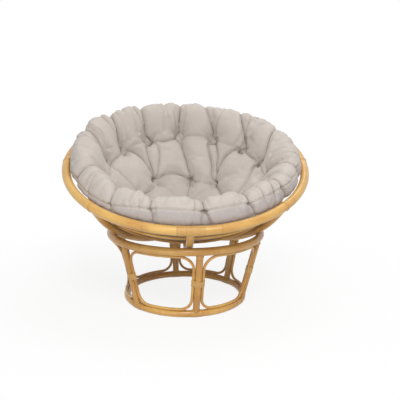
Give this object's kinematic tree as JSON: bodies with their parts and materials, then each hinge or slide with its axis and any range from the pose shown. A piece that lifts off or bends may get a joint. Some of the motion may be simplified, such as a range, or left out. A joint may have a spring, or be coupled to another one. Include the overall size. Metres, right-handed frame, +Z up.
{
  "type": "papasan chair",
  "caption": "Round rattan lounge chair: a rimmed bowl of bent ribs that tilts on a ring stand, with a thick tufted round cushion.",
  "frame": {"origin": "on the floor, under the middle of the chair's bounding box", "axes": "+Z up; -Y is the front, where the tilted rim is lowest; +X is on the right of someone who faces the chair"},
  "size_m": [1.1024, 1.0352, 0.8518],
  "materials": {
    "rattan_pole": "satin",
    "thin_rattan": "satin",
    "cane_binding": "satin",
    "cushion_cloth": "matte"
  },
  "bodies": {
    "stand": {"floor_ring": "rattan_pole", "support_ring": "rattan_pole", "leg_1": "rattan_pole", "panel_loop_1": "thin_rattan", "leg_binding_1": "cane_binding", "foot_binding_1": "cane_binding", "leg_collar_1": "cane_binding", "leg_2": "rattan_pole", "panel_loop_2": "thin_rattan", "leg_binding_2": "cane_binding", "foot_binding_2": "cane_binding", "leg_collar_2": "cane_binding", "leg_3": "rattan_pole", "panel_loop_3": "thin_rattan", "leg_binding_3": "cane_binding", "foot_binding_3": "cane_binding", "leg_collar_3": "cane_binding", "leg_4": "rattan_pole", "panel_loop_4": "thin_rattan", "leg_binding_4": "cane_binding", "foot_binding_4": "cane_binding", "leg_collar_4": "cane_binding", "leg_5": "rattan_pole", "panel_loop_5": "thin_rattan", "leg_binding_5": "cane_binding", "foot_binding_5": "cane_binding", "leg_collar_5": "cane_binding", "leg_6": "rattan_pole", "panel_loop_6": "thin_rattan", "leg_binding_6": "cane_binding", "foot_binding_6": "cane_binding", "leg_collar_6": "cane_binding"},
    "bowl": {"rim": "rattan_pole", "rim_joint_wrap": "cane_binding", "upper_hoop": "thin_rattan", "lower_hoop": "thin_rattan", "bowl_base_hoop": "rattan_pole", "rib_1": "rattan_pole", "rib_2": "rattan_pole", "rib_3": "rattan_pole", "rib_4": "rattan_pole", "rib_5": "rattan_pole", "rib_6": "rattan_pole", "rib_7": "rattan_pole", "rib_8": "rattan_pole", "rim_binding_1": "cane_binding", "rim_binding_2": "cane_binding", "rim_binding_3": "cane_binding", "rim_binding_4": "cane_binding", "rim_binding_5": "cane_binding", "rim_binding_6": "cane_binding", "rim_binding_7": "cane_binding"},
    "cushion": {"cushion": "cushion_cloth"}
  },
  "joints": [
    {"name": "bowl_tilt", "type": "hinge", "parent": "stand", "child": "bowl", "pos_m": [0.00011, -0.07891, 0.80957], "axis": [1, 0, 0], "range_deg": [-51, 10]},
    {"name": "cushion_lift", "type": "slide", "parent": "bowl", "child": "cushion", "axis": [0, -0.3502, 0.9367], "range_m": [0, 0.45]}
  ]
}
